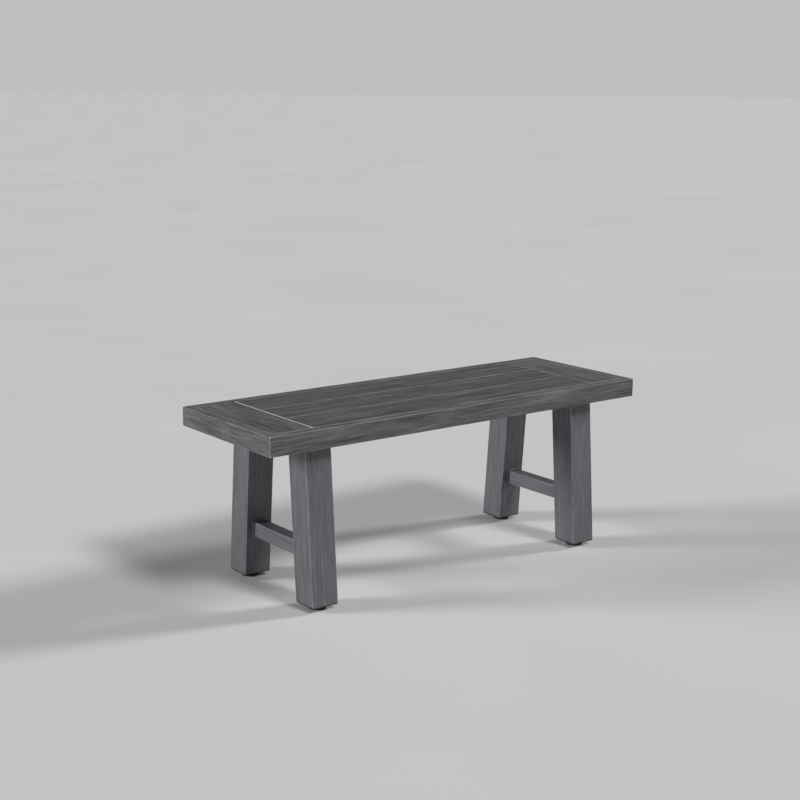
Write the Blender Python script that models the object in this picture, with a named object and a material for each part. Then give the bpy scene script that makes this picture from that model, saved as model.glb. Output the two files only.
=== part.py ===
"""Garden bench: a slatted seat in a mitred frame, on two splayed trestles with screw-out feet.

Units are metres and +Z is up. The origin is on the floor under the middle of the seat.
The seat is long along X; front is -Y and left is -X.
"""

import math

import bmesh
import bpy
from mathutils import Vector

# Clearance that keeps neighbouring solids apart where the real ones touch or are welded.
GAP = 0.0003

# Overall sizes.
SEAT_LENGTH = 1.219
SEAT_WIDTH = 0.416
SEAT_HEIGHT = 0.470
FRAME_DEPTH = 0.050

# Seat frame and slats.
RAIL_WIDTH = 0.025
RAIL_WALL = 0.0016
SLAT_DEPTH = 0.020
SLAT_WALL = 0.0015
SLAT_COUNT = 3
SLAT_CELLS = 3
END_BOARD_REACH = 0.140          # seat end to the seam between end board and slats
FRAME_GROOVE = 0.0015            # open groove between the frame and its infill
SLAT_GROOVE = 0.0020             # open groove between two slats
EDGE_RADIUS = 0.0012
EDGE_SEGMENTS = 3

# Trestles.
LEG_SIZE = 0.076
LEG_WALL = 0.0018
LEG_END_INSET = 0.127            # seat end to the leg's outer face
LEG_SPLAY = math.radians(4.35)
LEG_FOOT_Y = 0.1585              # leg centreline off the bench's middle, at the leg's foot
LEG_FOOT_Z = 0.015
STRETCHER_SIZE = 0.038
STRETCHER_WALL = 0.0020
STRETCHER_Z = 0.141
PLATE_WIDTH = 0.120
PLATE_HALF_LENGTH = 0.165
PLATE_THICKNESS = 0.005

# Braces under the slats, and the ledges under the outer edges of the end boards.
BRACE_DEPTH = 0.0194
BRACE_WALL = 0.0018
CENTRE_BRACE_WIDTH = 0.040
LEDGE_REACH = 0.025
LEDGE_DROP = 0.022
LEDGE_THICKNESS = 0.0025

# M8 bolts that hold each trestle to the seat, with washers and tapped bars.
SCREW_RADIUS = 0.0040
HEX_HALF_FLATS = 0.0065
BOLT_HEAD_HEIGHT = 0.0053
BOLT_LENGTH = 0.020
BOLT_HOLE_RADIUS = 0.0045
BOLT_OFFSET_X = 0.049            # off the trestle's middle, beside the leg
BOLT_OFFSET_Y = 0.110
WASHER_RADIUS = 0.0080
WASHER_THICKNESS = 0.0016
NUT_BAR_WIDTH = 0.016
NUT_BAR_DEPTH = 0.006
NUT_BAR_HALF_LENGTH = 0.125
TAPPED_RADIUS = 0.0043

# Leg end caps and levelling feet.
CAP_FLANGE = 0.003
CAP_PLUG_HEIGHT = 0.020
NUT_HEIGHT = 0.0065
NUT_POCKET_DEPTH = 0.008
STUD_TOP_Z = 0.050
COLLAR_HEIGHT = 0.0024
PAD_RADIUS = 0.024
PAD_RIM_HEIGHT = 0.005
PAD_HUB_RADIUS = 0.011
PAD_HUB_HEIGHT = 0.009
PAD_BORE_RADIUS = 0.0050
PAD_BORE_FLOOR = 0.003

ROUND_SIDES = 24
PAD_SIDES = 32

# Places worked out from the sizes above.
TRESTLE_X = SEAT_LENGTH / 2 - LEG_END_INSET - LEG_SIZE / 2
SLAT_BOTTOM_Z = SEAT_HEIGHT - SLAT_DEPTH
BRACE_Z = SLAT_BOTTOM_Z - GAP - BRACE_DEPTH / 2
PLATE_TOP_Z = BRACE_Z - BRACE_DEPTH / 2 - GAP
PLATE_BOTTOM_Z = PLATE_TOP_Z - PLATE_THICKNESS
LEG_TOP_Z = PLATE_BOTTOM_Z - GAP
CAP_BOTTOM_Z = LEG_FOOT_Z - CAP_FLANGE
SPLAY_SLOPE = math.tan(LEG_SPLAY)

SIDES = {"left": -1, "right": 1}
ENDS = {"front": -1, "back": 1}


# ---------------------------------------------------------------- helpers

def clear_scene():
    for obj in list(bpy.data.objects):
        bpy.data.objects.remove(obj, do_unlink=True)


def make_material(name, colour, roughness, metallic):
    material = bpy.data.materials.new(name)
    material.use_nodes = True
    shader = material.node_tree.nodes["Principled BSDF"]
    shader.inputs["Base Color"].default_value = (*colour, 1.0)
    shader.inputs["Roughness"].default_value = roughness
    shader.inputs["Metallic"].default_value = metallic
    return material


def finish_mesh(bm, name):
    bmesh.ops.recalc_face_normals(bm, faces=bm.faces)
    mesh = bpy.data.meshes.new(name)
    bm.to_mesh(mesh)
    bm.free()
    mesh.shade_smooth()
    mesh.set_sharp_from_angle(angle=math.radians(35))
    return mesh


def add_object(name, mesh, material, location=(0, 0, 0), rotation=(0, 0, 0)):
    obj = bpy.data.objects.new(name, mesh)
    if not mesh.materials:
        mesh.materials.append(material)
    obj.location = location
    obj.rotation_euler = rotation
    bpy.context.collection.objects.link(obj)
    return obj


def add_cutter(name, mesh, location=(0, 0, 0)):
    obj = bpy.data.objects.new(name, mesh)
    obj.location = location
    obj.hide_render = True
    obj.display_type = "WIRE"
    bpy.context.collection.objects.link(obj)
    return obj


def cut(obj, cutter):
    modifier = obj.modifiers.new("holes", "BOOLEAN")
    modifier.operation = "DIFFERENCE"
    modifier.solver = "EXACT"
    modifier.object = cutter


def section_lines(size, wall, cells):
    """Grid lines across a hollow section: outer face, then both sides of every wall."""
    opening = (size - (cells + 1) * wall) / cells
    lines = [-size / 2]
    for cell in range(cells):
        start = -size / 2 + wall + cell * (opening + wall)
        lines += [start, start + opening]
    return lines + [size / 2]


def round_long_edges(bm, width, depth, radius):
    """Round the four outer edges that run along X."""
    corners = []
    for edge in bm.edges:
        on_corner = all(
            abs(abs(v.co.y) - width / 2) < 1e-6 and abs(abs(v.co.z) - depth / 2) < 1e-6
            for v in edge.verts
        )
        if on_corner:
            corners.append(edge)
    bmesh.ops.bevel(
        bm, geom=corners, offset=radius, segments=EDGE_SEGMENTS, profile=0.5,
        affect="EDGES", clamp_overlap=True,
    )


def hollow_section(name, width, depth, wall, start, end, cells=1, radius=EDGE_RADIUS):
    """Open-ended box section along X. start and end give the X of each end at (y, z)."""
    ys = section_lines(width, wall, cells)
    zs = section_lines(depth, wall, 1)
    bm = bmesh.new()
    grid = [[bm.verts.new((0, y, z)) for z in zs] for y in ys]
    for i in range(len(ys) - 1):
        for j in range(len(zs) - 1):
            is_cavity = i % 2 == 1 and j % 2 == 1
            if not is_cavity:
                bm.faces.new((grid[i][j], grid[i + 1][j], grid[i + 1][j + 1], grid[i][j + 1]))
    first_verts = list(bm.verts)
    result = bmesh.ops.extrude_face_region(bm, geom=list(bm.faces))
    last_verts = [item for item in result["geom"] if isinstance(item, bmesh.types.BMVert)]
    for v in first_verts:
        v.co.x = start(v.co.y, v.co.z)
    for v in last_verts:
        v.co.x = end(v.co.y, v.co.z)
    round_long_edges(bm, width, depth, radius)
    return finish_mesh(bm, name)


def flat(x):
    """An end cut square, at the given X."""
    return lambda y, z: x


def ring_radius(size, is_hex, angle):
    """Radius at an angle: a circle's, or a hexagon's with size as half its across-flats."""
    if not is_hex:
        return size
    sector = math.radians(60)
    off_flat = (angle + sector / 2) % sector - sector / 2
    return size / math.cos(off_flat)


def turned(name, rings, sides, closed=False):
    """Turned solid about Z from (size, z, is_hex) rings listed from the bottom up.

    A closed profile comes back down the bore to its first ring; an open one gets end faces.
    """
    bm = bmesh.new()
    loops = []
    for size, z, is_hex in rings:
        loop = []
        for k in range(sides):
            angle = 2 * math.pi * k / sides
            r = ring_radius(size, is_hex, angle)
            loop.append(bm.verts.new((r * math.cos(angle), r * math.sin(angle), z)))
        loops.append(loop)
    pairs = list(zip(loops, loops[1:]))
    if closed:
        pairs.append((loops[-1], loops[0]))
    else:
        bm.faces.new(loops[0])
        bm.faces.new(loops[-1])
    for low, high in pairs:
        for k in range(sides):
            n = (k + 1) % sides
            bm.faces.new((low[k], low[n], high[n], high[k]))
    return finish_mesh(bm, name)


def box_at(bm, low, high):
    """Add a box between two corners to a bmesh."""
    made = bmesh.ops.create_cube(bm, size=1.0)["verts"]
    low, high = Vector(low), Vector(high)
    for v in made:
        v.co = Vector((
            low.x + (v.co.x + 0.5) * (high.x - low.x),
            low.y + (v.co.y + 0.5) * (high.y - low.y),
            low.z + (v.co.z + 0.5) * (high.z - low.z),
        ))
    return made


def leg_centre_y(z):
    """Distance of a leg's centreline from the bench's middle, at a height."""
    return LEG_FOOT_Y - (z - LEG_FOOT_Z) * SPLAY_SLOPE


def each_leg():
    """Yield name ending, X side and Y side of the four legs."""
    for end_name, y_sign in ENDS.items():
        for side_name, x_sign in SIDES.items():
            yield f"{end_name}_{side_name}", x_sign, y_sign


# ---------------------------------------------------------------- seat

def add_seat_frame(finish):
    """Four rectangular tubes with mitred corners."""
    rail_z = SEAT_HEIGHT - FRAME_DEPTH / 2
    mitre_gap = GAP / math.sqrt(2)
    turn = {"front": 0, "right": math.pi / 2, "back": math.pi, "left": -math.pi / 2}
    for name, angle in turn.items():
        is_long = name in ENDS
        half = (SEAT_LENGTH if is_long else SEAT_WIDTH) / 2 - mitre_gap
        off = (SEAT_WIDTH if is_long else SEAT_LENGTH) / 2 - RAIL_WIDTH / 2

        def mitre(y, z, reach=half):
            return reach - (y + RAIL_WIDTH / 2)

        mesh = hollow_section(
            f"seat_rail_{name}", RAIL_WIDTH, FRAME_DEPTH, RAIL_WALL,
            start=lambda y, z: -mitre(y, z), end=mitre,
        )
        place = (off * math.sin(angle), -off * math.cos(angle), rail_z)
        add_object(f"seat_rail_{name}", mesh, finish, place, (0, 0, angle))


def add_slats(finish):
    """Three long slats between two end boards that run across."""
    infill = SEAT_WIDTH - 2 * RAIL_WIDTH - 2 * FRAME_GROOVE
    slat_width = (infill - (SLAT_COUNT - 1) * SLAT_GROOVE) / SLAT_COUNT
    slat_half = SEAT_LENGTH / 2 - END_BOARD_REACH - SLAT_GROOVE / 2
    slat_z = SEAT_HEIGHT - SLAT_DEPTH / 2
    for i, name in enumerate(("front", "middle", "back")):
        mesh = hollow_section(
            f"seat_slat_{name}", slat_width, SLAT_DEPTH, SLAT_WALL,
            flat(-slat_half), flat(slat_half), SLAT_CELLS,
        )
        y = (i - 1) * (slat_width + SLAT_GROOVE)
        add_object(f"seat_slat_{name}", mesh, finish, (0, y, slat_z))

    board_outer = SEAT_LENGTH / 2 - RAIL_WIDTH - FRAME_GROOVE
    board_inner = SEAT_LENGTH / 2 - END_BOARD_REACH + SLAT_GROOVE / 2
    board_x = (board_outer + board_inner) / 2
    for name, sign in SIDES.items():
        mesh = hollow_section(
            f"end_board_{name}", board_outer - board_inner, SLAT_DEPTH, SLAT_WALL,
            flat(-infill / 2), flat(infill / 2), SLAT_CELLS,
        )
        add_object(f"end_board_{name}", mesh, finish, (sign * board_x, 0, slat_z),
                   (0, 0, math.pi / 2))


def add_braces(finish, bolt_holes):
    """Cross members under the slats: one over each trestle and one in the middle."""
    half = SEAT_WIDTH / 2 - RAIL_WIDTH - GAP
    for name, sign in SIDES.items():
        mesh = hollow_section(
            f"trestle_brace_{name}", PLATE_WIDTH, BRACE_DEPTH, BRACE_WALL, flat(-half), flat(half),
        )
        brace = add_object(f"trestle_brace_{name}", mesh, finish,
                           (sign * TRESTLE_X, 0, BRACE_Z), (0, 0, math.pi / 2))
        cut(brace, bolt_holes[name])
    mesh = hollow_section(
        "centre_brace", CENTRE_BRACE_WIDTH, BRACE_DEPTH, BRACE_WALL, flat(-half), flat(half),
    )
    add_object("centre_brace", mesh, finish, (0, 0, BRACE_Z), (0, 0, math.pi / 2))


def add_ledges(finish):
    """Angle strips on the end rails that carry the outer edges of the end boards."""
    half = SEAT_WIDTH / 2 - RAIL_WIDTH - 2 * FRAME_GROOVE
    top = SLAT_BOTTOM_Z - GAP
    outline = (
        (0, top), (-LEDGE_REACH, top), (-LEDGE_REACH, top - LEDGE_THICKNESS),
        (-LEDGE_THICKNESS, top - LEDGE_THICKNESS), (-LEDGE_THICKNESS, top - LEDGE_DROP),
        (0, top - LEDGE_DROP),
    )
    for name, sign in SIDES.items():
        rail_face = SEAT_LENGTH / 2 - RAIL_WIDTH - GAP
        bm = bmesh.new()
        verts = [bm.verts.new((sign * (rail_face + x), -half, z)) for x, z in outline]
        face = bm.faces.new(verts)
        moved = bmesh.ops.extrude_face_region(bm, geom=[face])["geom"]
        new_verts = [item for item in moved if isinstance(item, bmesh.types.BMVert)]
        bmesh.ops.translate(bm, verts=new_verts, vec=(0, 2 * half, 0))
        add_object(f"end_ledge_{name}", finish_mesh(bm, f"end_ledge_{name}"), finish)


# ---------------------------------------------------------------- trestles

def add_legs(finish):
    """Square tubes that lean out at the foot, cut level at both ends."""
    half_length = (LEG_TOP_Z - LEG_FOOT_Z) / 2 / math.cos(LEG_SPLAY)
    middle_z = (LEG_TOP_Z + LEG_FOOT_Z) / 2
    for name, x_sign, y_sign in each_leg():

        def level_cut(y, z, lean=y_sign):
            return -lean * y * SPLAY_SLOPE

        mesh = hollow_section(
            f"leg_{name}", LEG_SIZE, LEG_SIZE, LEG_WALL,
            start=lambda y, z: level_cut(y, z) - half_length,
            end=lambda y, z: level_cut(y, z) + half_length,
        )
        leg = add_object(f"leg_{name}", mesh, finish)
        leg.location = (x_sign * TRESTLE_X, y_sign * leg_centre_y(middle_z), middle_z)
        leg.rotation_mode = "YXZ"
        leg.rotation_euler = (y_sign * LEG_SPLAY, -math.pi / 2, 0)


def add_stretchers(finish):
    """One bar across each trestle, its ends cut to the lean of the legs."""
    wall_y = LEG_SIZE / 2 / math.cos(LEG_SPLAY)

    def reach(y, z):
        return leg_centre_y(STRETCHER_Z + z) - wall_y - GAP

    for name, sign in SIDES.items():
        mesh = hollow_section(
            f"stretcher_{name}", STRETCHER_SIZE, STRETCHER_SIZE, STRETCHER_WALL,
            start=lambda y, z: -reach(y, z), end=reach,
        )
        add_object(f"stretcher_{name}", mesh, finish, (sign * TRESTLE_X, 0, STRETCHER_Z),
                   (0, 0, math.pi / 2))


def bolt_places(sign):
    """The four bolt axes of a trestle."""
    for x in (-BOLT_OFFSET_X, BOLT_OFFSET_X):
        for y in (-BOLT_OFFSET_Y, BOLT_OFFSET_Y):
            yield sign * TRESTLE_X + x, y


def make_hole_cutter(name, places, radius, low, high):
    """Upright cylinders joined into one cutter."""
    bm = bmesh.new()
    for x, y in places:
        made = bmesh.ops.create_cone(
            bm, cap_ends=True, segments=ROUND_SIDES, radius1=radius, radius2=radius,
            depth=high - low,
        )["verts"]
        bmesh.ops.translate(bm, verts=made, vec=(x, y, (low + high) / 2))
    return add_cutter(name, finish_mesh(bm, name))


def add_plates(finish, bolt_holes):
    """The flat plate that the two legs of a trestle are welded to."""
    for name, sign in SIDES.items():
        bm = bmesh.new()
        box_at(bm, (-PLATE_WIDTH / 2, -PLATE_HALF_LENGTH, PLATE_BOTTOM_Z),
               (PLATE_WIDTH / 2, PLATE_HALF_LENGTH, PLATE_TOP_Z))
        plate = add_object(f"trestle_plate_{name}", finish_mesh(bm, f"trestle_plate_{name}"),
                           finish, (sign * TRESTLE_X, 0, 0))
        cut(plate, bolt_holes[name])


def add_bolts(steel):
    """Hex bolts up through washer, plate and brace into two tapped bars a trestle."""
    washer_top = PLATE_BOTTOM_Z - GAP
    washer_bottom = washer_top - WASHER_THICKNESS
    head_top = washer_bottom - GAP
    head_bottom = head_top - BOLT_HEAD_HEIGHT
    tip = head_top + BOLT_LENGTH
    chamfer = 0.0008
    bolt_mesh = turned("trestle_bolt", (
        (HEX_HALF_FLATS - chamfer / 2, head_bottom, False),
        (HEX_HALF_FLATS, head_bottom + chamfer / 2, True),
        (HEX_HALF_FLATS, head_top, True),
        (SCREW_RADIUS, head_top, False),
        (SCREW_RADIUS, tip - chamfer, False),
        (SCREW_RADIUS - chamfer, tip, False),
    ), ROUND_SIDES)
    washer_mesh = turned("bolt_washer", (
        (WASHER_RADIUS, washer_bottom, False),
        (WASHER_RADIUS, washer_top, False),
        (BOLT_HOLE_RADIUS, washer_top, False),
        (BOLT_HOLE_RADIUS, washer_bottom, False),
    ), ROUND_SIDES, closed=True)
    for name, sign in SIDES.items():
        for i, (x, y) in enumerate(bolt_places(sign), start=1):
            add_object(f"trestle_bolt_{name}_{i}", bolt_mesh, steel, (x, y, 0))
            add_object(f"bolt_washer_{name}_{i}", washer_mesh, steel, (x, y, 0))


def add_nut_bars(steel):
    """Tapped flat bars inside each trestle brace."""
    low = BRACE_Z - BRACE_DEPTH / 2 + BRACE_WALL + GAP
    high = low + NUT_BAR_DEPTH
    for name, sign in SIDES.items():
        for place, x_sign in (("outer", sign), ("inner", -sign)):
            bar_name = f"nut_bar_{name}_{place}"
            x = sign * TRESTLE_X + x_sign * BOLT_OFFSET_X
            holes = make_hole_cutter(
                f"{bar_name}_taps", [(x, -BOLT_OFFSET_Y), (x, BOLT_OFFSET_Y)], TAPPED_RADIUS,
                low - NUT_BAR_DEPTH, high + NUT_BAR_DEPTH,
            )
            bm = bmesh.new()
            box_at(bm, (x - NUT_BAR_WIDTH / 2, -NUT_BAR_HALF_LENGTH, low),
                   (x + NUT_BAR_WIDTH / 2, NUT_BAR_HALF_LENGTH, high))
            bar = add_object(bar_name, finish_mesh(bm, bar_name), steel)
            cut(bar, holes)


# ---------------------------------------------------------------- feet

def cap_mesh(name, y_sign):
    """Flange as large as the leg, and a plug that leans with the tube. Origin on the floor."""
    half_x = LEG_SIZE / 2
    half_y = half_x / math.cos(LEG_SPLAY)
    inset = LEG_WALL + GAP
    levels = (
        (CAP_BOTTOM_Z, 0.0), (LEG_FOOT_Z - GAP, 0.0),
        (LEG_FOOT_Z - GAP, inset), (LEG_FOOT_Z + CAP_PLUG_HEIGHT, inset),
    )
    bm = bmesh.new()
    loops = []
    for z, shrink in levels:
        lean = -y_sign * (z - LEG_FOOT_Z) * SPLAY_SLOPE
        x, y = half_x - shrink, half_y - shrink
        corners = ((-x, -y), (x, -y), (x, y), (-x, y))
        loops.append([bm.verts.new((cx, cy + lean, z)) for cx, cy in corners])
    bm.faces.new(loops[0])
    bm.faces.new(loops[-1])
    for low, high in zip(loops, loops[1:]):
        for k in range(4):
            n = (k + 1) % 4
            bm.faces.new((low[k], low[n], high[n], high[k]))
    return finish_mesh(bm, name)


def add_feet(plastic, steel, rubber):
    """End cap with a captive nut, and a stud that turns in a pad standing on the floor."""
    plug_top = LEG_FOOT_Z + CAP_PLUG_HEIGHT
    pocket_floor = plug_top - NUT_POCKET_DEPTH
    collar_top = CAP_BOTTOM_Z - GAP
    collar_bottom = collar_top - COLLAR_HEIGHT
    nut_low = pocket_floor + GAP
    chamfer = 0.0008
    bore_mesh = turned("cap_bore", (
        (BOLT_HOLE_RADIUS, CAP_BOTTOM_Z - CAP_FLANGE, False),
        (BOLT_HOLE_RADIUS, pocket_floor, False),
        (HEX_HALF_FLATS + GAP, pocket_floor, True),
        (HEX_HALF_FLATS + GAP, plug_top + CAP_FLANGE, True),
    ), ROUND_SIDES)
    nut_mesh = turned("cap_nut", (
        (HEX_HALF_FLATS, nut_low, True),
        (HEX_HALF_FLATS, nut_low + NUT_HEIGHT, True),
        (TAPPED_RADIUS, nut_low + NUT_HEIGHT, False),
        (TAPPED_RADIUS, nut_low, False),
    ), ROUND_SIDES, closed=True)
    stud_mesh = turned("glide_stud", (
        (SCREW_RADIUS, PAD_BORE_FLOOR + GAP, False),
        (SCREW_RADIUS, collar_bottom, False),
        (HEX_HALF_FLATS, collar_bottom, True),
        (HEX_HALF_FLATS, collar_top, True),
        (SCREW_RADIUS, collar_top, False),
        (SCREW_RADIUS, STUD_TOP_Z - chamfer, False),
        (SCREW_RADIUS - chamfer, STUD_TOP_Z, False),
    ), ROUND_SIDES)
    pad_mesh = turned("glide_pad", (
        (PAD_RADIUS - 0.0010, 0.0, False),
        (PAD_RADIUS, 0.0010, False),
        (PAD_RADIUS, PAD_RIM_HEIGHT - 0.0015, False),
        (PAD_RADIUS - 0.0005, PAD_RIM_HEIGHT - 0.0005, False),
        (PAD_RADIUS - 0.0015, PAD_RIM_HEIGHT, False),
        (PAD_HUB_RADIUS + 0.0015, PAD_HUB_HEIGHT - 0.0020, False),
        (PAD_HUB_RADIUS, PAD_HUB_HEIGHT - 0.0005, False),
        (PAD_HUB_RADIUS - 0.0005, PAD_HUB_HEIGHT, False),
        (PAD_BORE_RADIUS, PAD_HUB_HEIGHT, False),
        (PAD_BORE_RADIUS, PAD_BORE_FLOOR, False),
    ), PAD_SIDES)
    for name, x_sign, y_sign in each_leg():
        place = (x_sign * TRESTLE_X, y_sign * LEG_FOOT_Y, 0)
        bore = add_cutter(f"cap_bore_{name}", bore_mesh, place)
        cap = add_object(f"leg_cap_{name}", cap_mesh(f"leg_cap_{name}", y_sign), plastic, place)
        cut(cap, bore)
        add_object(f"cap_nut_{name}", nut_mesh, steel, place)
        add_object(f"glide_stud_{name}", stud_mesh, steel, place)
        add_object(f"glide_pad_{name}", pad_mesh, rubber, place)


def main():
    clear_scene()
    grain_finish = make_material("grained_powder_coat", (0.115, 0.115, 0.122), 0.55, 0.0)
    plain_finish = make_material("plain_powder_coat", (0.085, 0.085, 0.090), 0.50, 0.0)
    steel = make_material("zinc_steel", (0.55, 0.55, 0.56), 0.35, 1.0)
    plastic = make_material("black_plastic", (0.02, 0.02, 0.02), 0.50, 0.0)
    rubber = make_material("black_nylon", (0.015, 0.015, 0.015), 0.60, 0.0)

    hole_low = PLATE_BOTTOM_Z - PLATE_THICKNESS
    hole_high = BRACE_Z
    bolt_holes = {
        name: make_hole_cutter(f"bolt_holes_{name}", bolt_places(sign), BOLT_HOLE_RADIUS,
                               hole_low, hole_high)
        for name, sign in SIDES.items()
    }
    add_seat_frame(grain_finish)
    add_slats(grain_finish)
    add_braces(plain_finish, bolt_holes)
    add_ledges(plain_finish)
    add_legs(grain_finish)
    add_stretchers(grain_finish)
    add_plates(plain_finish, bolt_holes)
    add_nut_bars(steel)
    add_bolts(steel)
    add_feet(plastic, steel, rubber)


main()
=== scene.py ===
"""Looks of the garden bench: grained powder coat, welds, bolts and levelling feet.

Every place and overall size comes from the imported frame, and the small shapes that the frame
leaves out are named here. Metres, +Z up, front is -Y, left is -X.
"""
import math
import random

import bmesh
import bpy
from mathutils import Matrix, Vector


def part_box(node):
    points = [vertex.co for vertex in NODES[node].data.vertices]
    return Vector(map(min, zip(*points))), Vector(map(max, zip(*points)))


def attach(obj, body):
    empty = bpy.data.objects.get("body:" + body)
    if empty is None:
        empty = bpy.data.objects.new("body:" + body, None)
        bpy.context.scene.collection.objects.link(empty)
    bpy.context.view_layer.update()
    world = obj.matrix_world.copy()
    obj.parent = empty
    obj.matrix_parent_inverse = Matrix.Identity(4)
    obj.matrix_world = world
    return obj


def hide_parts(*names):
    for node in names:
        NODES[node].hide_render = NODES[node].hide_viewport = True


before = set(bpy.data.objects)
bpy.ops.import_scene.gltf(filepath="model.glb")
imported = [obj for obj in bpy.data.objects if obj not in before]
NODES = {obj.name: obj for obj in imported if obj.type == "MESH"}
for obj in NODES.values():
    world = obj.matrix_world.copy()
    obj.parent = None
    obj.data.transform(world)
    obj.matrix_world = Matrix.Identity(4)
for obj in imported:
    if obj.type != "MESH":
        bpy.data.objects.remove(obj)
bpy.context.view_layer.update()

BENCH = "bench"
ENDS = ("front", "back")
SIDES = ("left", "right")
CORNERS = [f"{end}_{side}" for end in ENDS for side in SIDES]
RAIL_TURNS = {"front": 0.0, "right": 90.0, "back": 180.0, "left": 270.0}
SLATS = ("seat_slat_front", "seat_slat_middle", "seat_slat_back")
END_BOARDS = ("end_board_left", "end_board_right")
BRACES = ("trestle_brace_left", "trestle_brace_right", "centre_brace")
PLATES = ("trestle_plate_left", "trestle_plate_right")
BOLTS_PER_TRESTLE = 4

# Roundings that the tubes, the coat and the grinding leave on the plain sections.
TUBE_RADIUS = 0.0014
SLAT_RADIUS = 0.0012
SLAT_END_RADIUS = 0.0020
PLATE_RADIUS = 0.0006
MITRE_RADIUS = 0.0008
CORNER_RADIUS = 0.0021
CORNER_END_RADIUS = 0.0008
EDGE_STEPS = 4
END_STEPS = 3
SHARP_ANGLE = math.radians(32)
FLAT_WEIGHT = 50
LEVEL_TOLERANCE = 1e-4

# Weld beads: ripple and start are parts of the radius, and a bead starts thin over its run-in.
WELD_RADIUS = 0.0019
WELD_PITCH = 0.0021
WELD_RIPPLE = 0.13
WELD_RUN_IN = 0.003
WELD_START = 0.4
WELD_INSET = WELD_RADIUS * 0.30
WELD_STEPS_PER_RIPPLE = 4
WELD_SIDES = 8

# M8 hardware, and the gap from a fine piece to its neighbour.
SHANK_RADIUS = 0.0040
THREAD_PITCH = 0.00125
THREAD_DEPTH = 0.00035
THREAD_STEPS_PER_TURN = 8
BOLT_SIDES = 48
WASHER_SIDES = 64
STUD_SIDES = 36
PAD_SIDES = 96
CAP_SIDES = 128
CORNER_WELD_SIDES = 32
GAP = 0.0003

# The grain of each member starts at its own place, up to this many metres along.
GRAIN_SHIFT = 3

# Coats: grain tone, tint, contrast, painted highlight tone on the arrises, painted highlight tone on
# cut ends.
NEUTRAL = (1.0, 1.0, 1.02)
COATS = {
    "rail_coat": dict(tone=0.093, tint=(1.0, 0.985, 1.055), contrast=1.40, edge_highlight_tone=0.30,
                      end_highlight=0.50),
    "slat_coat": dict(tone=0.075, tint=NEUTRAL, contrast=1.65, edge_highlight_tone=0.34, end_highlight=0.95),
    "board_coat": dict(tone=0.091, tint=NEUTRAL, contrast=1.75, edge_highlight_tone=0.30, end_highlight=0.34),
    "leg_coat": dict(tone=0.108, tint=(1.0, 0.98, 1.10), contrast=0.68, edge_highlight_tone=0.40),
}
# Painted highlight: the light tone of the corner welds.
CORNER_WELD_HIGHLIGHT_TONE = 0.52
# Painted highlight: the leg and stretcher welds are lighter than the leg coat.
LEG_WELD_HIGHLIGHT_TONE = 0.20
UNDER_WELD_TONE = 0.085

# Studio suns: name, degrees from +X towards +Y, degrees above the floor, softness, strength.
SUNS = (
    ("key", -14.0, 24.0, 10.0, 2.15),
    ("front", -80.0, 45.0, 13.0, 1.62),
    ("back_left", 150.0, 18.0, 18.0, 2.62),
)
WORLD_LIGHT = 0.01
HORIZON_LIGHT = 0.52
HORIZON_BAND = (0.10, 0.40)
FLOOR_HALF = 150.0

CAMERA_PLACE = (-2.393, -3.030, 1.2815)
CAMERA_AIM = (0.5953, 0.7751, -0.2112)
CAMERA_LENS = 65.66
CAMERA_ROLL = 0.465


# ---------------------------------------------------------------- node helpers

def scaled_colour(tone, tint):
    return tuple(tone * part for part in tint)


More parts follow.
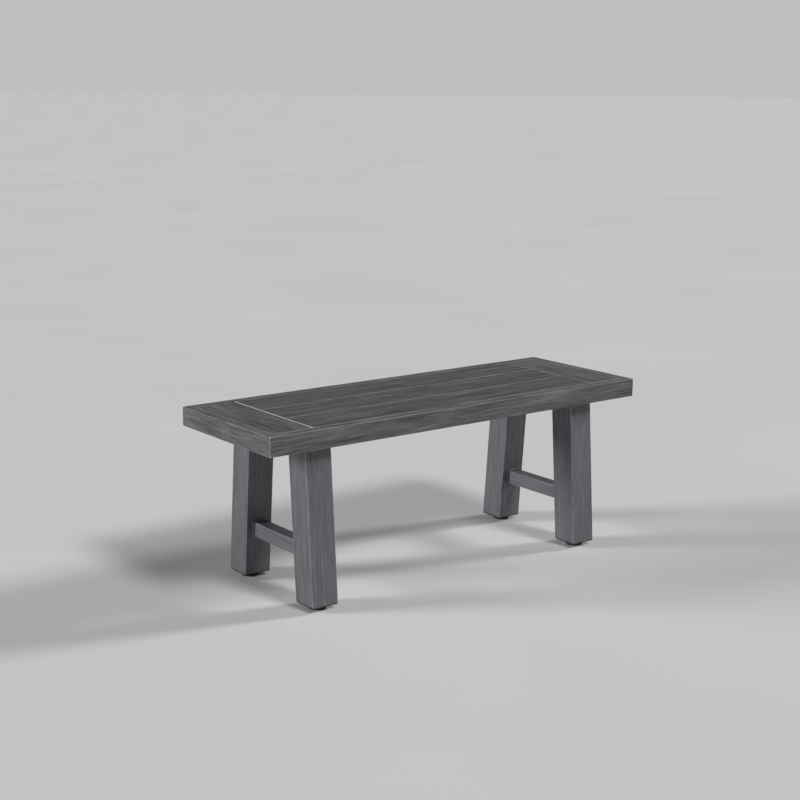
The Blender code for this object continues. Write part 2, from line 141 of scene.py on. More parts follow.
class Shader:
    """A Principled material and short ways to add nodes to it."""

    def __init__(self, name):
        self.material = bpy.data.materials.new(name)
        self.material.use_nodes = True
        self.tree = self.material.node_tree
        self.principled = self.tree.nodes["Principled BSDF"]

    def node(self, kind, **settings):
        made = self.tree.nodes.new(kind)
        for key, value in settings.items():
            setattr(made, key, value)
        return made

    def feed(self, socket, value):
        """Set a socket to a number or a colour, or link another socket to it."""
        if isinstance(value, (int, float)):
            socket.default_value = value
        elif isinstance(value, tuple):
            socket.default_value = (*value, 1.0)
        else:
            self.tree.links.new(value, socket)

    def place(self):
        return self.node("ShaderNodeTexCoord").outputs["Object"]

    def attribute(self, name, output):
        return self.node("ShaderNodeAttribute", attribute_name=name).outputs[output]

    def noise(self, vector, scale, detail=3.0, roughness=0.5):
        """Noise with a scale in each direction, or one scale for all three."""
        mapping = self.node("ShaderNodeMapping")
        mapping.inputs["Scale"].default_value = scale if isinstance(scale, tuple) else (scale,) * 3
        self.feed(mapping.inputs["Vector"], vector)
        noise = self.node("ShaderNodeTexNoise")
        noise.inputs["Scale"].default_value = 1.0
        noise.inputs["Detail"].default_value = detail
        noise.inputs["Roughness"].default_value = roughness
        self.feed(noise.inputs["Vector"], mapping.outputs["Vector"])
        return noise.outputs["Fac"]

    def math(self, operation, a, b, clamp=False):
        node = self.node("ShaderNodeMath", operation=operation, use_clamp=clamp)
        self.feed(node.inputs[0], a)
        self.feed(node.inputs[1], b)
        return node.outputs["Value"]

    def spread(self, value, low, high, to_low=0.0, to_high=1.0):
        """Map value from low..high to to_low..to_high, clamped and eased."""
        node = self.node("ShaderNodeMapRange", interpolation_type="SMOOTHSTEP")
        node.inputs["From Min"].default_value = low
        node.inputs["From Max"].default_value = high
        node.inputs["To Min"].default_value = to_low
        node.inputs["To Max"].default_value = to_high
        self.feed(node.inputs["Value"], value)
        return node.outputs["Result"]

    def ramp(self, value, stops):
        node = self.node("ShaderNodeValToRGB")
        elements = node.color_ramp.elements
        while len(elements) < len(stops):
            elements.new(0.5)
        for element, (place, colour) in zip(elements, stops):
            element.position = place
            element.color = (*colour, 1.0)
        self.feed(node.inputs["Fac"], value)
        return node.outputs["Color"]

    def grey_ramp(self, value, low, high, dark, light):
        return self.ramp(value, [(low, (dark,) * 3), (high, (light,) * 3)])

    def mix(self, factor, a, b, blend="MIX"):
        node = self.node("ShaderNodeMix", data_type="RGBA", blend_type=blend)
        factor_socket, colour_a, colour_b = (node.inputs[i] for i in (0, 6, 7))
        self.feed(factor_socket, factor)
        self.feed(colour_a, a)
        self.feed(colour_b, b)
        return node.outputs[2]

    def bump(self, height, distance, normal=None):
        node = self.node("ShaderNodeBump")
        node.inputs["Strength"].default_value = 1.0
        node.inputs["Distance"].default_value = distance
        self.feed(node.inputs["Height"], height)
        if normal is not None:
            self.feed(node.inputs["Normal"], normal)
        return node.outputs["Normal"]

    def edge_mask(self, radius):
        """1 on rounded outer edges and 0 on flat faces."""
        bevel = self.node("ShaderNodeBevel", samples=4)
        bevel.inputs["Radius"].default_value = radius
        geometry = self.node("ShaderNodeNewGeometry")
        dot = self.node("ShaderNodeVectorMath", operation="DOT_PRODUCT")
        self.feed(dot.inputs[0], bevel.outputs["Normal"])
        self.feed(dot.inputs[1], geometry.outputs["True Normal"])
        return self.spread(dot.outputs["Value"], 0.995, 0.90)

    def finish(self, **values):
        """Set the Principled inputs, named with _ for a space, and hand over the material."""
        for key, value in values.items():
            self.feed(self.principled.inputs[key.replace("_", " ")], value)
        return self.material


# ---------------------------------------------------------------- materials

def wandering(s, grain):
    """The grain's place, pushed sideways a little so that its lines aren't dead straight."""
    drift = s.math("MULTIPLY", s.noise(grain, (2.4, 7.0, 7.0), detail=2.0), 0.010)
    sideways = s.node("ShaderNodeCombineXYZ")
    s.feed(sideways.inputs["Y"], drift)
    s.feed(sideways.inputs["Z"], drift)
    moved = s.node("ShaderNodeVectorMath", operation="ADD")
    s.feed(moved.inputs[0], grain)
    s.feed(moved.inputs[1], sideways.outputs["Vector"])
    return moved.outputs["Vector"]


def arris_highlight(s, grain):
    """Painted highlight along the arrises, its strength in patches along them."""
    patches = s.noise(grain, (24.0, 90.0, 90.0), detail=4.0, roughness=0.65)
    rubbed = s.spread(patches, 0.34, 0.60, 0.25, 1.0)
    edge_highlight = s.math("MULTIPLY", s.attribute("edge_highlight", "Fac"), rubbed)
    return s.math("MULTIPLY", edge_highlight, 0.85, clamp=True)


def grained_coat(name, tone, tint, contrast, edge_highlight_tone, end_highlight=0.0):
    """Powder coat with a brushed wood grain, and a painted highlight that makes it lighter along its
    arrises.

    The mesh carries three attributes: "grain", metres along the member in X and across it in
    Y and Z; the painted arris highlight, 1 on the arrises; and "end", 1 on the cut ends, which
    get a painted highlight in a bright metal tone where the coat gives one.
    """
    s = Shader(name)
    grain = s.attribute("grain", "Vector")
    lines = wandering(s, grain)
    bands = s.noise(lines, (4.5, 48.0, 48.0), detail=3.0, roughness=0.55)
    streaks = s.noise(lines, (9.0, 200.0, 200.0), detail=4.0, roughness=0.70)
    hairs = s.noise(lines, (32.0, 1300.0, 1300.0), detail=2.0, roughness=0.6)
    scratch = s.noise(lines, (20.0, 560.0, 560.0), detail=1.0)
    pores = s.spread(scratch, 0.62, 0.72)
    lights = s.spread(scratch, 0.36, 0.26)

    body = s.math("ADD", s.math("MULTIPLY", bands, 0.28), s.math("MULTIPLY", streaks, 0.60))
    body = s.math("ADD", body, s.math("MULTIPLY", hairs, 0.12))
    stops = [(place, scaled_colour(tone * (1.0 + contrast * change), tint))
             for place, change in ((0.37, -0.45), (0.46, -0.14), (0.54, 0.12), (0.64, 0.60))]
    colour = s.ramp(body, stops)
    part = min(1.0, contrast)
    colour = s.mix(s.math("MULTIPLY", pores, 0.60 * part), colour, scaled_colour(tone * 0.38, tint))
    colour = s.mix(s.math("MULTIPLY", lights, 0.42 * part), colour, scaled_colour(tone * 2.1, tint))
    # Painted highlight along the arrises: a lighter colour and a little less roughness.
    edge_highlight = arris_highlight(s, grain)
    colour = s.mix(edge_highlight, colour, scaled_colour(edge_highlight_tone, tint))
    rough = s.spread(body, 0.35, 0.65, 0.58, 0.42)
    rough = s.math("SUBTRACT", rough, s.math("MULTIPLY", edge_highlight, 0.10))
    metallic = 0.0
    # Painted highlight on the cut ends: a bright brushed tone, a little metallic and glossier.
    if end_highlight:
        end = s.attribute("end", "Fac")
        brushed = s.noise(grain, (900.0, 60.0, 900.0))
        colour = s.mix(end, colour, s.grey_ramp(brushed, 0.3, 0.7, end_highlight * 0.85, end_highlight))
        rough = s.math("SUBTRACT", rough, s.math("MULTIPLY", end, 0.14))
        metallic = s.math("MULTIPLY", end, 0.20)

    relief = s.math("ADD", s.math("MULTIPLY", streaks, 0.5), s.math("MULTIPLY", hairs, 0.35))
    relief = s.math("SUBTRACT", relief, s.math("MULTIPLY", pores, 0.30))
    peel = s.noise(grain, 900.0, detail=1.0)
    normal = s.bump(peel, 0.00005, s.bump(relief, 0.00040))
    return s.finish(Base_Color=colour, Roughness=rough, Metallic=metallic, Normal=normal,
                    Specular_IOR_Level=0.34)


def plain_coat():
    """The same coat without the grain print, on parts under the seat."""
    s = Shader("plain_coat")
    place = s.place()
    cloud = s.noise(place, 14.0, detail=4.0)
    peel = s.noise(place, 700.0, detail=2.0)
    specks = s.spread(s.noise(place, 1800.0, detail=0.0), 0.68, 0.76)
    colour = s.ramp(cloud, [(0.30, (0.062, 0.062, 0.066)), (0.70, (0.094, 0.093, 0.099))])
    colour = s.mix(s.math("MULTIPLY", specks, 0.5), colour, (0.15, 0.15, 0.155))
    # Painted highlight: a lighter colour along the rounded edges.
    edge_highlight = s.math("MULTIPLY", s.edge_mask(0.0012), 0.45)
    colour = s.mix(edge_highlight, colour, (0.17, 0.17, 0.175))
    rough = s.spread(cloud, 0.3, 0.7, 0.50, 0.62)
    return s.finish(Base_Color=colour, Roughness=rough, Normal=s.bump(peel, 0.00008))


def weld_metal(name, tone):
    """A weld bead, a little glossier than the coated flats: a light tone on it is a painted
    highlight, a dark one is the coat's own tone.
    """
    s = Shader(name)
    place = s.place()
    cloud = s.noise(place, 160.0)
    peel = s.noise(place, 1500.0, detail=1.0)
    colour = s.grey_ramp(cloud, 0.3, 0.7, tone * 0.8, tone * 1.25)
    rough = s.spread(cloud, 0.3, 0.7, 0.38, 0.52)
    return s.finish(Base_Color=colour, Roughness=rough, Normal=s.bump(peel, 0.00006))


def zinc_steel():
    """Zinc plate: bluish grey with crystalline patches and fine turning marks."""
    s = Shader("zinc_steel")
    place = s.place()
    cells = s.node("ShaderNodeTexVoronoi")
    cells.inputs["Scale"].default_value = 420.0
    s.feed(cells.inputs["Vector"], place)
    fine = s.noise(place, (500.0, 500.0, 2600.0))
    tarnish = s.noise(place, 120.0, detail=4.0)
    colour = s.mix(0.18, (0.56, 0.57, 0.59), cells.outputs["Color"], "SOFT_LIGHT")
    colour = s.mix(s.spread(tarnish, 0.48, 0.72, 0.0, 0.5), colour, (0.36, 0.35, 0.33))
    rough = s.spread(fine, 0.3, 0.7, 0.26, 0.46)
    return s.finish(Base_Color=colour, Roughness=rough, Metallic=1.0,
                    Normal=s.bump(fine, 0.00004))


def moulded_plastic(name, tone, scuff):
    """Black moulding with a fine spark-eroded texture and lighter scuffs."""
    s = Shader(name)
    place = s.place()
    spark = s.noise(place, 1400.0, detail=2.0)
    cloud = s.noise(place, 90.0, detail=4.0, roughness=0.6)
    colour = s.grey_ramp(cloud, 0.35, 0.65, tone * 0.8, tone * 1.3)
    marks = s.noise(place, (60.0, 400.0, 120.0))
    rubbed = (tone * 4.0,) * 3
    colour = s.mix(s.math("MULTIPLY", s.spread(marks, 0.58, 0.75), scuff), colour, rubbed)
    colour = s.mix(s.math("MULTIPLY", s.edge_mask(0.0010), 0.35), colour, rubbed)
    rough = s.spread(cloud, 0.3, 0.7, 0.48, 0.66)
    return s.finish(Base_Color=colour, Roughness=rough, Normal=s.bump(spark, 0.00006))


def floor_paint():
    """Matt pale grey with a faint cloud."""
    s = Shader("floor_paint")
    cloud = s.noise(s.place(), 0.8)
    colour = s.ramp(cloud, [(0.3, (0.57, 0.57, 0.567)), (0.7, (0.60, 0.60, 0.597))])
    return s.finish(Base_Color=colour, Roughness=0.8, Specular_IOR_Level=0.2)


# ---------------------------------------------------------------- mesh helpers

def box_of(*names):
    """Lowest and highest corner round several CAD nodes."""
    corners = [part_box(name) for name in names]
    low = Vector([min(corner[0][i] for corner in corners) for i in range(3)])
    high = Vector([max(corner[1][i] for corner in corners) for i in range(3)])
    return low, high


def add_piece(name, bm, material, body, stands_for=(), grain=None):
    """Turn a bmesh in the row frame into a piece that rides on a body.

    A piece with a grain is a bar, whose broad flats keep their own normals.
    """
    bmesh.ops.recalc_face_normals(bm, faces=bm.faces)
    mesh = bpy.data.meshes.new(name)
    bm.to_mesh(mesh)
    bm.free()
    mesh.shade_smooth()
    mesh.materials.append(material)
    piece = bpy.data.objects.new(name, mesh)
    bpy.context.collection.objects.link(piece)
    if grain:
        layer = mesh.attributes.new("grain", "FLOAT_VECTOR", "POINT")
        layer.data.foreach_set("vector", [x for v in mesh.vertices for x in grain(v.co)])
        piece.modifiers.new("flats stay flat", "WEIGHTED_NORMAL").weight = FLAT_WEIGHT
    else:
        mesh.set_sharp_from_angle(angle=SHARP_ANGLE)
    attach(piece, body)
    if stands_for:
        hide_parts(*stands_for)


def mark_edge_highlights(bm, reach=None):
    """Store two painted highlight masks: one, 1 on the middle of each long arris, and "end", 1 on the
    cut ends.

    With a reach, only what lies further out than that along X counts as an end.
    """
    edge_highlight = bm.verts.layers.float.new("edge_highlight")
    end = bm.verts.layers.float.new("end")
    caps = [face for face in bm.faces if len(face.verts) > 4]
    sides = sorted((f for f in bm.faces if f not in caps), key=lambda f: f.calc_area())[-4:]
    flat = {v for face in sides for v in face.verts}
    cap_verts = {v for face in caps for v in face.verts}
    beside_flat = {e.other_vert(v) for v in flat for e in v.link_edges} - flat
    beside_cap = {e.other_vert(v) for v in cap_verts for e in v.link_edges} - cap_verts
    for v in bm.verts:
        at_end = v in cap_verts or v in beside_cap
        # Where the painted highlight of the cut ends goes.
        gets_end_highlight = at_end if reach is None else abs(v.co.x) > reach
        if gets_end_highlight:
            v[end] = 1.0
        elif not at_end and v not in flat:
            v[edge_highlight] = 0.75 if v in beside_flat else 1.0


def leaning_end(x, y_slope=0.0, z_slope=0.0):
    """A flat bar end: the X it has at each (y, z) of the section."""
    return lambda y, z: x + y_slope * y + z_slope * z


def prism(width, depth, start, end, radius, end_radius, reach):
    """Rounded bar along X between two leaning ends."""
    bm = bmesh.new()
    section = [(-width / 2, -depth / 2), (width / 2, -depth / 2),
               (width / 2, depth / 2), (-width / 2, depth / 2)]
    first = [bm.verts.new((start(y, z), y, z)) for y, z in section]
    last = [bm.verts.new((end(y, z), y, z)) for y, z in section]
    caps = [bm.faces.new(first), bm.faces.new(last)]
    for k in range(4):
        n = (k + 1) % 4
        bm.faces.new((first[k], first[n], last[n], last[k]))
    bmesh.ops.recalc_face_normals(bm, faces=bm.faces)
    long_edges = [edge for edge in bm.edges if not any(face in caps for face in edge.link_faces)]
    bmesh.ops.bevel(bm, geom=long_edges, offset=radius, segments=EDGE_STEPS,
                    profile=0.5, affect="EDGES", clamp_overlap=True)
    bm.normal_update()
    caps = [face for face in bm.faces if len(face.verts) > 4]
    end_edges = [edge for face in caps for edge in face.edges]
    bmesh.ops.bevel(bm, geom=end_edges, offset=end_radius, segments=END_STEPS,
                    profile=0.5, affect="EDGES", clamp_overlap=True)
    bm.normal_update()
    mark_edge_highlights(bm, reach)
    return bm


def coated_bar(node, size, start, end, radius, to_row, material, end_radius=None,
               reach=None):
    """A prism that stands for a node, with its grain along its own X and shifted by its name."""
    bm = prism(size[0], size[1], start, end, radius, end_radius or radius, reach)
    bmesh.ops.transform(bm, matrix=to_row, verts=bm.verts)
    shift = Vector([random.Random(node + axis).uniform(0, GRAIN_SHIFT) for axis in "xyz"])
    from_row = to_row.inverted()

    def grain(place):
        return (from_row @ place) + shift

    add_piece(f"{node}_coated", bm, material, BENCH, (node,), grain)


def turn_z(degrees, place):
    return Matrix.Translation(place) @ Matrix.Rotation(math.radians(degrees), 4, "Z")


def level_bar(node, degrees, radius, material, end_radius=None):
    """A square-ended coated bar that fills its node's box, turned about Z."""
    low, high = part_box(node)
    size = high - low
    length, width = (size.x, size.y) if degrees == 0.0 else (size.y, size.x)
    coated_bar(node, (width, size.z), leaning_end(-length / 2), leaning_end(length / 2), radius,
               turn_z(degrees, (low + high) / 2), material, end_radius)


def loops_solid(loops, closed=False):
    """Skin a stack of equal loops; closed joins the last to the first."""
    bm = bmesh.new()
    rings = [[bm.verts.new(point) for point in loop] for loop in loops]
    count = len(rings[0])
    pairs = list(zip(rings, rings[1:]))
    if closed:
        pairs.append((rings[-1], rings[0]))
    else:
        bm.faces.new(rings[0])
        bm.faces.new(rings[-1])
    for low, high in pairs:
        for k in range(count):
            n = (k + 1) % count
            bm.faces.new((low[k], low[n], high[n], high[k]))
    return bm


def add_fine(node, loops, material, body, closed=False):
    """A skinned piece that stands for one node."""
    add_piece(f"{node}_fine", loops_solid(loops, closed), material, body, (node,))


def circle(centre, radius, z, sides, first=0.0):
    """Level circle; first is where it starts, in steps."""
    angles = [2 * math.pi * (k + first) / sides for k in range(sides)]
    return [(centre.x + radius * math.cos(a), centre.y + radius * math.sin(a), z) for a in angles]


def hexagon(centre, half_flats, z, sides, chamfer_radius):
    """Hexagon loop, cut back to a circle where its corners are chamfered."""
    points = []
    for k in range(sides):
        a = 2 * math.pi * k / sides
        from_flat = (a + math.pi / 6) % (math.pi / 3) - math.pi / 6
        r = min(half_flats / math.cos(from_flat), chamfer_radius)
        points.append((centre.x + r * math.cos(a), centre.y + r * math.sin(a), z))
    return points


def arc(centre_r, centre_z, radius, start, end, steps):
    """Points (r, z) on an arc, angles in degrees."""
    points = []
    for k in range(steps + 1):
        a = math.radians(start + (end - start) * k / steps)
        points.append((centre_r + radius * math.cos(a), centre_z + radius * math.sin(a)))
    return points


def turned(centre, profile, sides):
    """Loops of a turned piece from its (r, z) profile."""
    return [circle(centre, r, z, sides) for r, z in profile]


def repaint(prefixes, material):
    """Give CAD nodes that stay as they are a new material."""
    for name, node in NODES.items():
        if name.startswith(prefixes):
            node.data.materials.clear()
            node.data.materials.append(material)


# ---------------------------------------------------------------- seat

def make_rails(material):
    """The frame: each rail's ends are mitred, and their tips carry the painted highlight of the cut
    ends.
    """
    for end, degrees in RAIL_TURNS.items():
        node = f"seat_rail_{end}"
        low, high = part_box(node)
        size = high - low
        width = min(size.x, size.y)
        half = max(size.x, size.y) / 2
        middle = half - width / 2
        coated_bar(
            node, (width, size.z), leaning_end(-middle, y_slope=1.0),
            leaning_end(middle, y_slope=-1.0), TUBE_RADIUS, turn_z(degrees, (low + high) / 2),
            material, MITRE_RADIUS, half - 0.98 * MITRE_RADIUS,
        )


def make_infill(slat_material, board_material):
    for node in SLATS:
        level_bar(node, 0.0, SLAT_RADIUS, slat_material, SLAT_END_RADIUS)
    for node in END_BOARDS:
        level_bar(node, 90.0, SLAT_RADIUS, board_material, SLAT_END_RADIUS)


def make_under_parts(material):
    """Braces, plates and ledges."""
    for node in BRACES:
        level_bar(node, 90.0, TUBE_RADIUS, material)
    for node in PLATES:
        level_bar(node, 90.0, PLATE_RADIUS, material)
    repaint("end_ledge", material)


def make_corner_welds(material):
    """The ground weld that rounds each outer corner of the mitred frame."""
    low, high = box_of(*(f"seat_rail_{end}" for end in RAIL_TURNS))
    core = CORNER_RADIUS * 0.35
    rounding = CORNER_END_RADIUS
    profile = [(core, low.z)]
    profile += arc(CORNER_RADIUS - rounding, low.z + rounding, rounding, -80, 0, 4)
    profile += arc(CORNER_RADIUS - rounding, high.z - rounding, rounding, 0, 80, 4)
    profile += [(core, high.z)]
    for end, y in (("front", low.y + CORNER_RADIUS), ("back", high.y - CORNER_RADIUS)):
        for side, x in (("left", low.x + CORNER_RADIUS), ("right", high.x - CORNER_RADIUS)):
            loops = turned(Vector((x, y, 0)), profile, CORNER_WELD_SIDES)
            add_piece(f"highlit_corner_weld_{end}_{side}", loops_solid(loops), material, BENCH)


# ---------------------------------------------------------------- trestles

def leg_ends(node):
    """(centre, Y size) of a leg at its foot and at its top."""
    low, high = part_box(node)
    ends = []
    for z in (low.z, high.z):
        ys = [v.co.y for v in NODES[node].data.vertices if abs(v.co.z - z) < LEVEL_TOLERANCE]
        centre = Vector(((low.x + high.x) / 2, (min(ys) + max(ys)) / 2, z))
        ends.append((centre, max(ys) - min(ys)))
    return ends


def leg_slope(foot, top):
    """How far a leg's axis moves in -Y for each metre up."""
    return (foot.y - top.y) / (top.z - foot.z)


def make_legs(material):
    """Splayed legs, cut level at both ends."""
    for corner in CORNERS:
        node = f"leg_{corner}"
        (foot, _), (top, _) = leg_ends(node)
        low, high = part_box(node)
        slope = leg_slope(foot, top)
        half = (top - foot).length / 2
        width = high.x - low.x
        to_row = (Matrix.Translation((foot + top) / 2) @ Matrix.Rotation(math.atan(slope), 4, "X")
                  @ Matrix.Rotation(math.radians(-90.0), 4, "Y"))
        coated_bar(
            node, (width, width), leaning_end(-half, y_slope=-slope),
            leaning_end(half, y_slope=-slope), TUBE_RADIUS, to_row, material,
        )


def make_stretchers(material):
    """Level bars whose ends lean with the legs that they meet."""
    for side in SIDES:
        node = f"stretcher_{side}"
        low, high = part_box(node)
        (foot, _), (top, _) = leg_ends(f"leg_back_{side}")
        slope = leg_slope(foot, top)
        height = high.z - low.z
        reach = high.y - slope * height / 2
        coated_bar(
            node, (high.x - low.x, height), leaning_end(-reach, z_slope=slope),
            leaning_end(reach, z_slope=-slope), TUBE_RADIUS, turn_z(90.0, (low + high) / 2),
            material,
        )


# ---------------------------------------------------------------- welds

def weld_loops(points):
    """Rippled bead along straight runs between points."""
    loops = []
    before = 0.0
    for a, b in zip(points, points[1:]):
        run = b - a
        length = run.length
        steps = max(2, int(length / (WELD_PITCH / WELD_STEPS_PER_RIPPLE)))
        forward = run.normalized()
        side = forward.orthogonal().normalized()
        up = forward.cross(side)
        for k in range(steps):
            travelled = before + k / steps * length
            ripple = 1.0 + WELD_RIPPLE * abs(math.sin(math.pi * travelled / WELD_PITCH))
            swell = WELD_START + (1.0 - WELD_START) * min(1.0, travelled / WELD_RUN_IN)
            r = WELD_RADIUS * ripple * swell
            centre = a + run * (k / steps)
            angles = [2 * math.pi * j / WELD_SIDES for j in range(WELD_SIDES)]
            loops.append([centre + side * (r * math.cos(angle)) + up * (r * math.sin(angle))
                          for angle in angles])
        before += length
    return loops


def add_weld(name, points, material):
    loops = weld_loops([Vector(point) for point in points])
    add_piece(name, loops_solid(loops), material, BENCH)


def make_leg_welds(material):
    """Beads round both ends of each stretcher and round the top of each leg."""
    for side in SIDES:
        plate_low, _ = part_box(f"trestle_plate_{side}")
        bar_low, bar_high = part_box(f"stretcher_{side}")
        x0, x1 = bar_low.x - WELD_INSET, bar_high.x + WELD_INSET
        z0, z1 = bar_low.z - WELD_INSET, bar_high.z + WELD_INSET
        for end, outward in (("front", -1), ("back", 1)):
            (foot, foot_y), (top, top_y) = leg_ends(f"leg_{end}_{side}")
            slope = leg_slope(foot, top)
            leg_low, leg_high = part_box(f"leg_{end}_{side}")
            round_bar = []
            for x, z in ((x0, z0), (x0, z1), (x1, z1), (x1, z0), (x0, z0)):
                inner_y = foot.y - slope * (z - foot.z) - outward * foot_y / 2
                round_bar.append((x, inner_y - outward * WELD_INSET, z))
            add_weld(f"stretcher_weld_{end}_{side}", round_bar, material)
            y0, y1 = top.y - top_y / 2, top.y + top_y / 2
            z = plate_low.z - WELD_INSET
            round_top = [(leg_low.x, y0, z), (leg_high.x, y0, z), (leg_high.x, y1, z),
                         (leg_low.x, y1, z), (leg_low.x, y0, z)]
            add_weld(f"leg_weld_{end}_{side}", round_top, material)


def make_brace_welds(material):
    """Beads up both sides and under each end of the braces."""
    for node in BRACES:
        low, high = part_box(node)
        for end, y in (("front", low.y), ("back", high.y)):
            path = [(low.x, y, high.z - WELD_RADIUS), (low.x, y, low.z), (high.x, y, low.z),
                    (high.x, y, high.z - WELD_RADIUS)]
            add_weld(f"{node}_weld_{end}", path, material)


# ---------------------------------------------------------------- bolts

def make_bolt(node, washer, material):
    """Dished and chamfered hexagon head, its washer face, and a shank with a lead-in."""
    low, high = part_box(node)
    washer_low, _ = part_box(washer)
    centre = (low + high) / 2
    half = (high.x - low.x) / 2
    corner = half / math.cos(math.pi / 6)
    head_top = washer_low.z - GAP
    chamfer = 0.0005
    chamfer_end = 0.0012
    washer_face = 0.0004
    lead_in = 0.0008
    loops = [
        circle(centre, half * 0.55, low.z + chamfer, BOLT_SIDES),
        circle(centre, half * 0.62, low.z, BOLT_SIDES),
        circle(centre, half * 0.93, low.z, BOLT_SIDES),
        hexagon(centre, half, low.z + chamfer, BOLT_SIDES, half * 1.02),
        hexagon(centre, half, low.z + chamfer_end, BOLT_SIDES, corner * 0.995),
        hexagon(centre, half, head_top - chamfer, BOLT_SIDES, corner),
        circle(centre, half * 0.97, head_top - washer_face, BOLT_SIDES),
        circle(centre, half * 0.97, head_top, BOLT_SIDES),
        circle(centre, SHANK_RADIUS, head_top, BOLT_SIDES),
        circle(centre, SHANK_RADIUS, high.z - lead_in, BOLT_SIDES),
        circle(centre, SHANK_RADIUS - lead_in, high.z, BOLT_SIDES),
    ]
    add_fine(node, loops, material, BENCH)


def make_washer(node, centre, material):
    """Flat ring with its edges broken."""
    low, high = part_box(node)
    outer = (high.x - low.x) / 2
    inner = SHANK_RADIUS + 0.0005
    edge = 0.0002
    profile = [(inner, low.z + edge), (inner + edge, low.z), (outer - edge, low.z),
               (outer, low.z + edge), (outer, high.z - edge), (outer - edge, high.z),
               (inner + edge, high.z), (inner, high.z - edge)]
    add_fine(node, turned(centre, profile, WASHER_SIDES), material, BENCH,
             closed=True)


def make_bolts(material):
    for side in SIDES:
        for number in range(1, BOLTS_PER_TRESTLE + 1):
            bolt = f"trestle_bolt_{side}_{number}"
            washer = f"bolt_washer_{side}_{number}"
            low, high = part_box(bolt)
            make_bolt(bolt, washer, material)
            make_washer(washer, (low + high) / 2, material)


# ---------------------------------------------------------------- feet

def make_pad(corner, material):
    """Round pad: grooved sole, rounded rim, and a hub with the stud's socket."""
    node = f"glide_pad_{corner}"
    low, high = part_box(node)
    centre = (low + high) / 2
    outer = (high.x - low.x) / 2
    rim = low.z + 0.0050
    hub = 0.0110
    socket = 0.0050
    socket_floor = low.z + 0.003
    dimple = 0.0040
    groove_width, groove_side, groove_depth = 0.0016, 0.0003, 0.0005
    sole_radius = 0.0012
    rim_radius = 0.0014
    profile = [(dimple, low.z + 0.0004), (dimple + 0.0005, low.z)]
    for groove in (0.0085, 0.0125, 0.0165):
        profile += [(groove, low.z), (groove + groove_side, low.z + groove_depth),
                    (groove + groove_width - groove_side, low.z + groove_depth),
                    (groove + groove_width, low.z)]
    profile += arc(outer - sole_radius, low.z + sole_radius, sole_radius, -90, 0, 5)
    profile += arc(outer - rim_radius, rim - rim_radius, rim_radius, 0, 80, 6)
    profile += [(hub + 0.0040, rim + 0.0009), (hub + 0.0022, rim + 0.0016)]
    profile += arc(hub - sole_radius, high.z - sole_radius, sole_radius, 20, 90, 5)
    profile += [(socket + 0.0006, high.z), (socket, high.z - 0.0005), (socket, socket_floor)]
    add_fine(node, turned(centre, profile, PAD_SIDES), material, f"foot_{corner}")


def thread_loops(centre, start, end):
    """Rolled right-hand thread, which grows to its full depth over the first turn."""
    loops = []
    for k in range(1, int((end - start) / THREAD_PITCH * THREAD_STEPS_PER_TURN) + 1):
        turns_up = k / THREAD_STEPS_PER_TURN
        z = start + turns_up * THREAD_PITCH
        loop = []
        for j in range(STUD_SIDES):
            turn = j / STUD_SIDES
            phase = (turns_up - turn) % 1.0
            crest = min(1.0, 1.3 * (1.0 - abs(2.0 * phase - 1.0)))
            r = SHANK_RADIUS - THREAD_DEPTH * (1.0 - min(1.0, turns_up) * crest)
            a = 2 * math.pi * turn
            loop.append((centre.x + r * math.cos(a), centre.y + r * math.sin(a), z))
        loops.append(loop)
    return loops


def make_stud(corner, material):
    """Collar with a hexagon for the spanner, and a rolled thread above it."""
    node = f"glide_stud_{corner}"
    low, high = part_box(node)
    centre = (low + high) / 2
    half = (high.x - low.x) / 2
    chamfer_radius = half / math.cos(math.pi / 6) * 0.985
    cap_low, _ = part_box(f"leg_cap_{corner}")
    _, pad_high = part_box(f"glide_pad_{corner}")
    collar_low = pad_high.z + GAP
    collar_high = cap_low.z - GAP
    chamfer = 0.0004
    tip = 0.0006
    thread_end = high.z - 0.0010
    loops = [
        circle(centre, SHANK_RADIUS - tip, low.z, STUD_SIDES),
        circle(centre, SHANK_RADIUS, low.z + tip, STUD_SIDES),
        circle(centre, SHANK_RADIUS, collar_low, STUD_SIDES),
        circle(centre, half * 0.95, collar_low, STUD_SIDES),
        hexagon(centre, half, collar_low + chamfer, STUD_SIDES, chamfer_radius),
        hexagon(centre, half, collar_high - chamfer, STUD_SIDES, chamfer_radius),
        circle(centre, half * 0.95, collar_high, STUD_SIDES),
        circle(centre, SHANK_RADIUS - THREAD_DEPTH, collar_high, STUD_SIDES),
    ]
    loops += thread_loops(centre, collar_high, thread_end)
    loops.append(circle(centre, SHANK_RADIUS - THREAD_DEPTH * 2, high.z, STUD_SIDES))
    add_fine(node, loops, material, f"screw_{corner}")


def rounded_rectangle(centre, half_x, half_y, radius, z, sides):
    """Rounded rectangle with its points at even angles round the centre."""
    points = []
    for k in range(sides):
        a = 2 * math.pi * (k + 0.5) / sides
        reach = 1.0 / max(abs(math.cos(a)) / half_x, abs(math.sin(a)) / half_y)
        x, y = reach * math.cos(a), reach * math.sin(a)
        if abs(x) > half_x - radius and abs(y) > half_y - radius:
            middle = Vector((half_x - radius, half_y - radius))
            rounded = middle + (Vector((abs(x), abs(y))) - middle).normalized() * radius
            x, y = math.copysign(rounded.x, x), math.copysign(rounded.y, y)
        points.append((centre.x + x, centre.y + y, z))
    return points


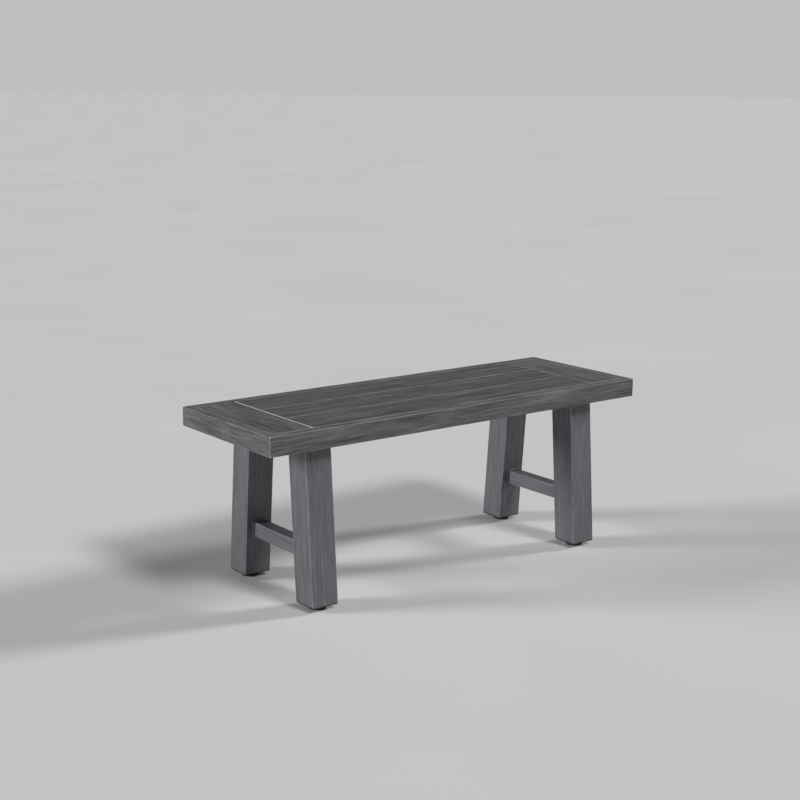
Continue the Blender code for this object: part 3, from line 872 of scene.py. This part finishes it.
def make_cap(corner, material):
    """Leg cap: a flange under the leg's end, a plug inside it, and a pocket for the nut."""
    node = f"leg_cap_{corner}"
    low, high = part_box(node)
    (foot, foot_y), (top, _) = leg_ends(f"leg_{corner}")
    slope = leg_slope(foot, top)
    half_x, half_y = (high.x - low.x) / 2, foot_y / 2
    stud_low, stud_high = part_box(f"glide_stud_{corner}")
    bore_centre = (stud_low + stud_high) / 2
    flange_top = foot.z - GAP
    edge = 0.0008
    bore = 0.0045
    plug = 0.0021
    outer_radius = 0.0016
    plug_radius = 0.0010
    pocket = 0.0078
    groove_in, groove_out, groove_side, groove_depth = 0.0105, 0.0134, 0.0004, 0.0006

    def outline(z, shrink, radius):
        centre = Vector((foot.x, foot.y - slope * (z - foot.z), 0))
        return rounded_rectangle(centre, half_x - shrink, half_y - shrink, radius, z, CAP_SIDES)

    def hole(z, radius):
        return circle(bore_centre, radius, z, CAP_SIDES, first=0.5)

    loops = [
        hole(low.z + edge / 2, bore), hole(low.z, bore + edge / 2), hole(low.z, groove_in),
        hole(low.z + groove_depth, groove_in + groove_side),
        hole(low.z + groove_depth, groove_out - groove_side), hole(low.z, groove_out),
        outline(low.z, edge, outer_radius), outline(low.z + edge * 0.3, edge * 0.3, outer_radius),
        outline(low.z + edge, 0.0, outer_radius), outline(flange_top - edge * 0.4, 0.0, outer_radius),
        outline(flange_top, edge * 0.4, outer_radius), outline(flange_top, plug, plug_radius),
        outline(high.z - edge, plug, plug_radius), outline(high.z, plug + edge, plug_radius),
        hole(high.z, pocket), hole(high.z - pocket, pocket), hole(high.z - pocket, bore),
    ]
    add_fine(node, loops, material, BENCH, closed=True)


# ---------------------------------------------------------------- stage

def direction(around, above):
    """Unit vector from two angles in degrees: from +X towards +Y, and above the floor."""
    a, b = math.radians(around), math.radians(above)
    return Vector((math.cos(b) * math.cos(a), math.cos(b) * math.sin(a), math.sin(b)))


def make_floor():
    bm = bmesh.new()
    bmesh.ops.create_grid(bm, x_segments=1, y_segments=1, size=FLOOR_HALF)
    mesh = bpy.data.meshes.new("floor")
    bm.to_mesh(mesh)
    bm.free()
    mesh.materials.append(floor_paint())
    floor = bpy.data.objects.new("floor", mesh)
    bpy.context.collection.objects.link(floor)


def make_world():
    """A dim sky with a pale horizon, near the floor's tone in the camera's own view."""
    world = bpy.data.worlds.new("studio")
    world.use_nodes = True
    nodes, links = world.node_tree.nodes, world.node_tree.links
    height = nodes.new("ShaderNodeSeparateXYZ")
    links.new(nodes.new("ShaderNodeTexCoord").outputs["Generated"], height.inputs["Vector"])
    band = nodes.new("ShaderNodeMapRange")
    band.interpolation_type = "SMOOTHSTEP"
    band.inputs["From Min"].default_value = HORIZON_BAND[0]
    band.inputs["From Max"].default_value = HORIZON_BAND[1]
    band.inputs["To Min"].default_value = HORIZON_LIGHT
    band.inputs["To Max"].default_value = WORLD_LIGHT
    links.new(height.outputs["Z"], band.inputs["Value"])
    background = nodes["Background"]
    background.inputs["Color"].default_value = (1.0, 1.0, 0.995, 1.0)
    links.new(band.outputs["Result"], background.inputs["Strength"])
    bpy.context.scene.world = world


def make_suns():
    for name, around, above, softness, strength in SUNS:
        light = bpy.data.lights.new(name, "SUN")
        light.angle = math.radians(softness)
        light.energy = strength
        lamp = bpy.data.objects.new(name, light)
        lamp.rotation_mode = "QUATERNION"
        lamp.rotation_quaternion = (-direction(around, above)).to_track_quat("-Z", "Y")
        bpy.context.collection.objects.link(lamp)


def make_camera():
    """Three-quarter view from the front left, a little above the seat."""
    data = bpy.data.cameras.new("camera")
    data.sensor_width = 36.0
    data.lens = CAMERA_LENS
    camera = bpy.data.objects.new("camera", data)
    camera.location = CAMERA_PLACE
    level = Vector(CAMERA_AIM).normalized().to_track_quat("-Z", "Y").to_matrix().to_4x4()
    roll = Matrix.Rotation(math.radians(CAMERA_ROLL), 4, "Z")
    camera.rotation_mode = "QUATERNION"
    camera.rotation_quaternion = (level @ roll).to_quaternion()
    bpy.context.collection.objects.link(camera)
    bpy.context.scene.camera = camera
    bpy.context.scene.view_settings.view_transform = "Standard"


make_camera()
make_floor()
make_world()
make_suns()

coats = {name: grained_coat(name, **look) for name, look in COATS.items()}
steel = zinc_steel()
plastic = moulded_plastic("cap_plastic", tone=0.020, scuff=0.25)
nylon = moulded_plastic("pad_nylon", tone=0.014, scuff=0.45)

make_rails(coats["rail_coat"])
make_corner_welds(weld_metal("highlit_corner_weld", CORNER_WELD_HIGHLIGHT_TONE))
make_infill(coats["slat_coat"], coats["board_coat"])
make_under_parts(plain_coat())
make_legs(coats["leg_coat"])
make_stretchers(coats["leg_coat"])
make_leg_welds(weld_metal("leg_weld", LEG_WELD_HIGHLIGHT_TONE))
make_brace_welds(weld_metal("under_weld", UNDER_WELD_TONE))
make_bolts(steel)
for corner in CORNERS:
    make_pad(corner, nylon)
    make_stud(corner, steel)
    make_cap(corner, plastic)
repaint(("nut_bar", "cap_nut"), steel)
